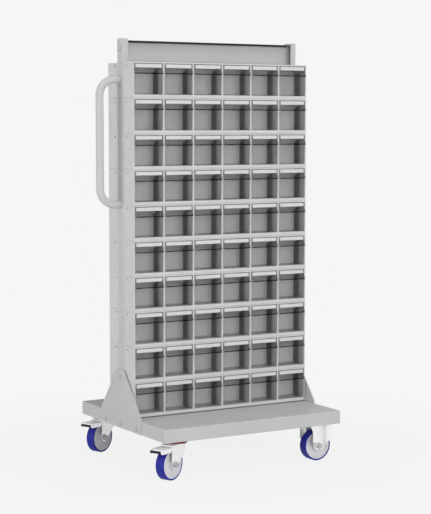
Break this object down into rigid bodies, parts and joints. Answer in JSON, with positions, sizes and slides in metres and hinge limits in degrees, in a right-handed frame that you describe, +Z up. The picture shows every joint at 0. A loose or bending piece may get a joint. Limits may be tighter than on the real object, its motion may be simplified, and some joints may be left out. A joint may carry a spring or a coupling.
{
  "type": "storage box trolley",
  "caption": "Mobile double-sided rack of tilt-out clear bins on a castor base with a push handle, for storing and fetching small parts.",
  "frame": {"origin": "on the floor under the middle of the base", "axes": "+Z up, -Y towards the front wall of bins, the push handle at -X"},
  "size_m": [0.7409, 0.5995, 1.362],
  "materials": {
    "grey_paint": "light grey powder coat",
    "housing_plastic": "moulded light grey",
    "clear_bin": "clear moulding",
    "zinc_steel": "bright zinc",
    "bright_bolts": "zinc plated",
    "wheel_plastic": "moulded nylon",
    "blue_tread": "satin polyurethane"
  },
  "bodies": {
    "rack": {"base_tray": "grey_paint", "castor_bolts": "bright_bolts", "castor_channel_left": "grey_paint", "castor_channel_right": "grey_paint", "castor_front_left_plate": "zinc_steel", "castor_front_left_raceway": "zinc_steel", "castor_front_right_axle": "bright_bolts", "castor_front_right_bracket": "zinc_steel", "castor_rear_left_plate": "zinc_steel", "castor_rear_left_raceway": "zinc_steel", "castor_rear_right_axle": "bright_bolts", "castor_rear_right_bracket": "zinc_steel", "crossbar_bolts": "bright_bolts", "gusset_bolts": "bright_bolts", "gusset_left": "grey_paint", "gusset_right": "grey_paint", "handle_screws": "bright_bolts", "housings_front": "housing_plastic", "housings_rear": "housing_plastic", "module_screws": "bright_bolts", "push_handle": "grey_paint", "top_crossbar": "grey_paint", "upright_left": "grey_paint", "upright_right": "grey_paint"},
    "bins_front_01": {"bins_front_01": "clear_bin"},
    "bins_front_02": {"bins_front_02": "clear_bin"},
    "bins_front_03": {"bins_front_03": "clear_bin"},
    "bins_front_04": {"bins_front_04": "clear_bin"},
    "bins_front_05": {"bins_front_05": "clear_bin"},
    "bins_front_06": {"bins_front_06": "clear_bin"},
    "bins_front_07": {"bins_front_07": "clear_bin"},
    "bins_front_08": {"bins_front_08": "clear_bin"},
    "bins_front_09": {"bins_front_09": "clear_bin"},
    "bins_front_10": {"bins_front_10": "clear_bin"},
    "bins_rear_01": {"bins_rear_01": "clear_bin"},
    "bins_rear_02": {"bins_rear_02": "clear_bin"},
    "bins_rear_03": {"bins_rear_03": "clear_bin"},
    "bins_rear_04": {"bins_rear_04": "clear_bin"},
    "bins_rear_05": {"bins_rear_05": "clear_bin"},
    "bins_rear_06": {"bins_rear_06": "clear_bin"},
    "bins_rear_07": {"bins_rear_07": "clear_bin"},
    "bins_rear_08": {"bins_rear_08": "clear_bin"},
    "bins_rear_09": {"bins_rear_09": "clear_bin"},
    "bins_rear_10": {"bins_rear_10": "clear_bin"},
    "castor_front_left_swivel": {"castor_front_left_fork": "zinc_steel", "castor_front_left_axle": "bright_bolts"},
    "castor_front_left_wheel": {"castor_front_left_hub": "wheel_plastic", "castor_front_left_tyre": "blue_tread"},
    "castor_front_left_brake": {"castor_front_left_brake_pedal": "zinc_steel"},
    "castor_rear_left_swivel": {"castor_rear_left_fork": "zinc_steel", "castor_rear_left_axle": "bright_bolts"},
    "castor_rear_left_wheel": {"castor_rear_left_hub": "wheel_plastic", "castor_rear_left_tyre": "blue_tread"},
    "castor_rear_left_brake": {"castor_rear_left_brake_pedal": "zinc_steel"},
    "castor_front_right_wheel": {"castor_front_right_hub": "wheel_plastic", "castor_front_right_tyre": "blue_tread"},
    "castor_rear_right_wheel": {"castor_rear_right_hub": "wheel_plastic", "castor_rear_right_tyre": "blue_tread"}
  },
  "joints": [
    {"name": "tilt_front_01", "type": "hinge", "parent": "rack", "child": "bins_front_01", "pos_m": [0, -0.0795, 1.1928], "axis": [1, 0, 0], "range_deg": [0, 45]},
    {"name": "tilt_front_02", "type": "hinge", "parent": "rack", "child": "bins_front_02", "pos_m": [0, -0.0795, 1.0808], "axis": [1, 0, 0], "range_deg": [0, 45]},
    {"name": "tilt_front_03", "type": "hinge", "parent": "rack", "child": "bins_front_03", "pos_m": [0, -0.0795, 0.9688], "axis": [1, 0, 0], "range_deg": [0, 45]},
    {"name": "tilt_front_04", "type": "hinge", "parent": "rack", "child": "bins_front_04", "pos_m": [0, -0.0795, 0.8568], "axis": [1, 0, 0], "range_deg": [0, 45]},
    {"name": "tilt_front_05", "type": "hinge", "parent": "rack", "child": "bins_front_05", "pos_m": [0, -0.0795, 0.7448], "axis": [1, 0, 0], "range_deg": [0, 45]},
    {"name": "tilt_front_06", "type": "hinge", "parent": "rack", "child": "bins_front_06", "pos_m": [0, -0.0795, 0.6328], "axis": [1, 0, 0], "range_deg": [0, 45]},
    {"name": "tilt_front_07", "type": "hinge", "parent": "rack", "child": "bins_front_07", "pos_m": [0, -0.0795, 0.5208], "axis": [1, 0, 0], "range_deg": [0, 45]},
    {"name": "tilt_front_08", "type": "hinge", "parent": "rack", "child": "bins_front_08", "pos_m": [0, -0.0795, 0.4088], "axis": [1, 0, 0], "range_deg": [0, 45]},
    {"name": "tilt_front_09", "type": "hinge", "parent": "rack", "child": "bins_front_09", "pos_m": [0, -0.0795, 0.2968], "axis": [1, 0, 0], "range_deg": [0, 45]},
    {"name": "tilt_front_10", "type": "hinge", "parent": "rack", "child": "bins_front_10", "pos_m": [0, -0.0795, 0.1848], "axis": [1, 0, 0], "range_deg": [0, 45]},
    {"name": "tilt_rear_01", "type": "hinge", "parent": "rack", "child": "bins_rear_01", "pos_m": [0, 0.0795, 1.1928], "axis": [-1, 0, 0], "range_deg": [0, 45]},
    {"name": "tilt_rear_02", "type": "hinge", "parent": "rack", "child": "bins_rear_02", "pos_m": [0, 0.0795, 1.0808], "axis": [-1, 0, 0], "range_deg": [0, 45]},
    {"name": "tilt_rear_03", "type": "hinge", "parent": "rack", "child": "bins_rear_03", "pos_m": [0, 0.0795, 0.9688], "axis": [-1, 0, 0], "range_deg": [0, 45]},
    {"name": "tilt_rear_04", "type": "hinge", "parent": "rack", "child": "bins_rear_04", "pos_m": [0, 0.0795, 0.8568], "axis": [-1, 0, 0], "range_deg": [0, 45]},
    {"name": "tilt_rear_05", "type": "hinge", "parent": "rack", "child": "bins_rear_05", "pos_m": [0, 0.0795, 0.7448], "axis": [-1, 0, 0], "range_deg": [0, 45]},
    {"name": "tilt_rear_06", "type": "hinge", "parent": "rack", "child": "bins_rear_06", "pos_m": [0, 0.0795, 0.6328], "axis": [-1, 0, 0], "range_deg": [0, 45]},
    {"name": "tilt_rear_07", "type": "hinge", "parent": "rack", "child": "bins_rear_07", "pos_m": [0, 0.0795, 0.5208], "axis": [-1, 0, 0], "range_deg": [0, 45]},
    {"name": "tilt_rear_08", "type": "hinge", "parent": "rack", "child": "bins_rear_08", "pos_m": [0, 0.0795, 0.4088], "axis": [-1, 0, 0], "range_deg": [0, 45]},
    {"name": "tilt_rear_09", "type": "hinge", "parent": "rack", "child": "bins_rear_09", "pos_m": [0, 0.0795, 0.2968], "axis": [-1, 0, 0], "range_deg": [0, 45]},
    {"name": "tilt_rear_10", "type": "hinge", "parent": "rack", "child": "bins_rear_10", "pos_m": [0, 0.0795, 0.1848], "axis": [-1, 0, 0], "range_deg": [0, 45]},
    {"name": "swivel_front_left", "type": "hinge", "parent": "rack", "child": "castor_front_left_swivel", "pos_m": [-0.259, -0.243, 0.1085], "axis": [0, 0, 1], "continuous": true},
    {"name": "spin_front_left", "type": "hinge", "parent": "castor_front_left_swivel", "child": "castor_front_left_wheel", "pos_m": [-0.29201, -0.25736, 0.05], "axis": [0.3987, -0.9171, 0], "continuous": true},
    {"name": "brake_front_left", "type": "hinge", "parent": "castor_front_left_swivel", "child": "castor_front_left_brake", "pos_m": [-0.29752, -0.25975, 0.1035], "axis": [0.3987, -0.9171, 0], "range_deg": [0, 10]},
    {"name": "swivel_rear_left", "type": "hinge", "parent": "rack", "child": "castor_rear_left_swivel", "pos_m": [-0.259, 0.243, 0.1085], "axis": [0, 0, 1], "continuous": true},
    {"name": "spin_rear_left", "type": "hinge", "parent": "castor_rear_left_swivel", "child": "castor_rear_left_wheel", "pos_m": [-0.29201, 0.22864, 0.05], "axis": [0.3987, -0.9171, 0], "continuous": true},
    {"name": "brake_rear_left", "type": "hinge", "parent": "castor_rear_left_swivel", "child": "castor_rear_left_brake", "pos_m": [-0.29752, 0.22625, 0.1035], "axis": [0.3987, -0.9171, 0], "range_deg": [0, 10]},
    {"name": "spin_front_right", "type": "hinge", "parent": "rack", "child": "castor_front_right_wheel", "pos_m": [0.259, -0.243, 0.05], "axis": [0, 1, 0], "continuous": true},
    {"name": "spin_rear_right", "type": "hinge", "parent": "rack", "child": "castor_rear_right_wheel", "pos_m": [0.259, 0.243, 0.05], "axis": [0, 1, 0], "continuous": true}
  ]
}
